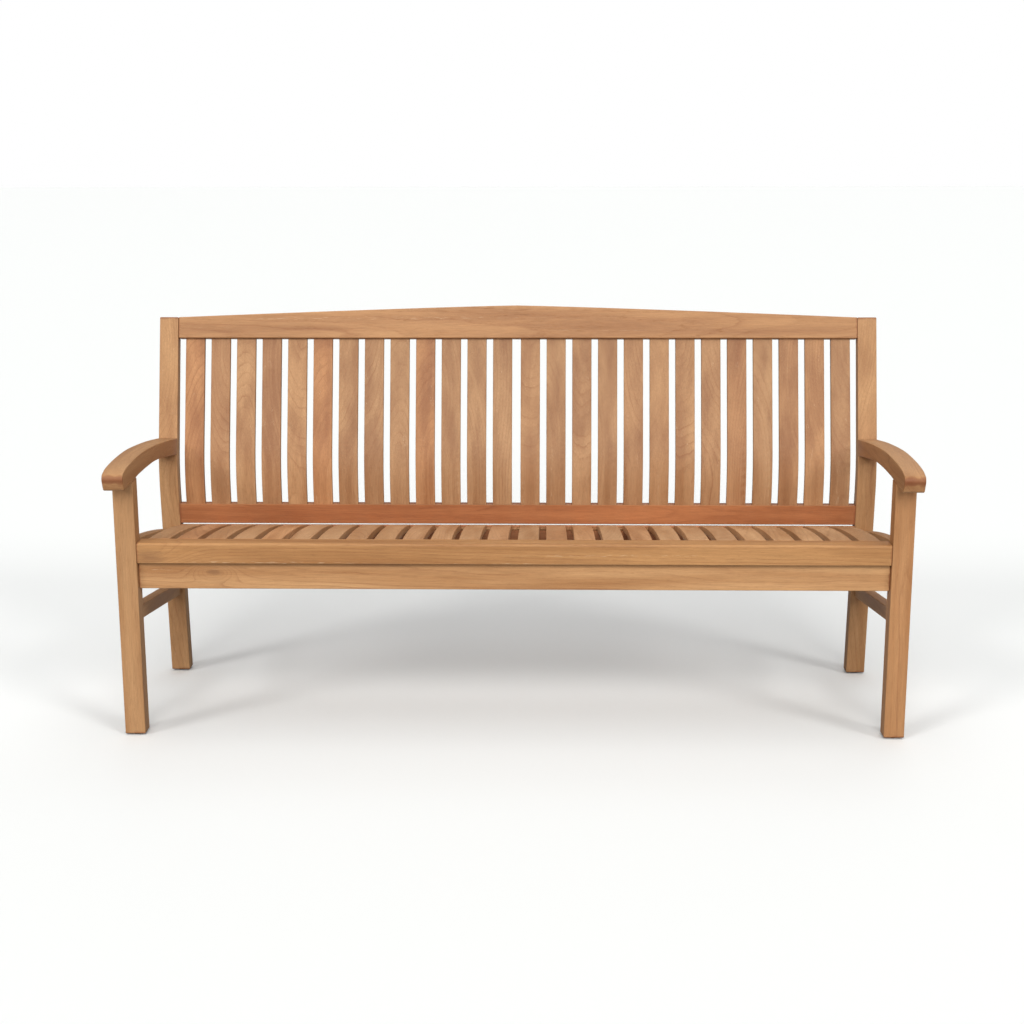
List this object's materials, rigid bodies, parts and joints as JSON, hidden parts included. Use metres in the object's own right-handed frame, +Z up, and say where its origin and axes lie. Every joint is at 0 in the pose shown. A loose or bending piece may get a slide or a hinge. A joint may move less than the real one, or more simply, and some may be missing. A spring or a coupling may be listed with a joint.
{
  "type": "garden bench",
  "caption": "Long wooden garden bench with arms, a crowned slatted back and a seat of front-to-back slats that falls to the rear.",
  "frame": {"origin": "on the floor, in the middle of the bench's bounding box", "axes": "+X to the right along the bench as a person faces it, +Y from the seat's front to its back, +Z up"},
  "size_m": [1.8, 0.6528, 0.9456],
  "materials": {
    "frame_teak": "oiled, satin",
    "rail_teak": "oiled, satin",
    "slat_teak": "oiled, satin",
    "glide_plastic": "matte"
  },
  "bodies": {
    "root": {"arm_left": "frame_teak", "arm_right": "frame_teak", "back_lower_rail": "rail_teak", "back_slat_01": "slat_teak", "back_slat_02": "slat_teak", "back_slat_03": "slat_teak", "back_slat_04": "slat_teak", "back_slat_05": "slat_teak", "back_slat_06": "slat_teak", "back_slat_07": "slat_teak", "back_slat_08": "slat_teak", "back_slat_09": "slat_teak", "back_slat_10": "slat_teak", "back_slat_11": "slat_teak", "back_slat_12": "slat_teak", "back_slat_13": "slat_teak", "back_slat_14": "slat_teak", "back_slat_15": "slat_teak", "back_slat_16": "slat_teak", "back_slat_17": "slat_teak", "back_slat_18": "slat_teak", "back_slat_19": "slat_teak", "back_slat_20": "slat_teak", "back_slat_21": "slat_teak", "back_slat_22": "slat_teak", "back_slat_23": "slat_teak", "back_slat_24": "slat_teak", "back_slat_25": "slat_teak", "back_slat_26": "slat_teak", "back_top_rail": "rail_teak", "foot_glide_front_left": "glide_plastic", "foot_glide_front_right": "glide_plastic", "foot_glide_rear_left": "glide_plastic", "foot_glide_rear_right": "glide_plastic", "front_apron": "rail_teak", "front_leg_left": "frame_teak", "front_leg_right": "frame_teak", "rear_leg_left": "frame_teak", "rear_leg_right": "frame_teak", "seat_bearer_left": "rail_teak", "seat_bearer_right": "rail_teak", "seat_front_rail": "rail_teak", "seat_rear_rail": "rail_teak", "seat_slats_01_02": "slat_teak", "seat_slats_03_04": "slat_teak", "seat_slats_05_06": "slat_teak", "seat_slats_07_08": "slat_teak", "seat_slats_09_10": "slat_teak", "seat_slats_11_12": "slat_teak", "seat_slats_13_14": "slat_teak", "seat_slats_15_16": "slat_teak", "seat_slats_17_18": "slat_teak", "seat_slats_19_20": "slat_teak", "seat_slats_21_22": "slat_teak", "seat_slats_23_24": "slat_teak", "seat_slats_25_26": "slat_teak", "side_seat_rail_left": "rail_teak", "side_seat_rail_right": "rail_teak", "side_stretcher_left": "frame_teak", "side_stretcher_right": "frame_teak"}
  },
  "joints": []
}
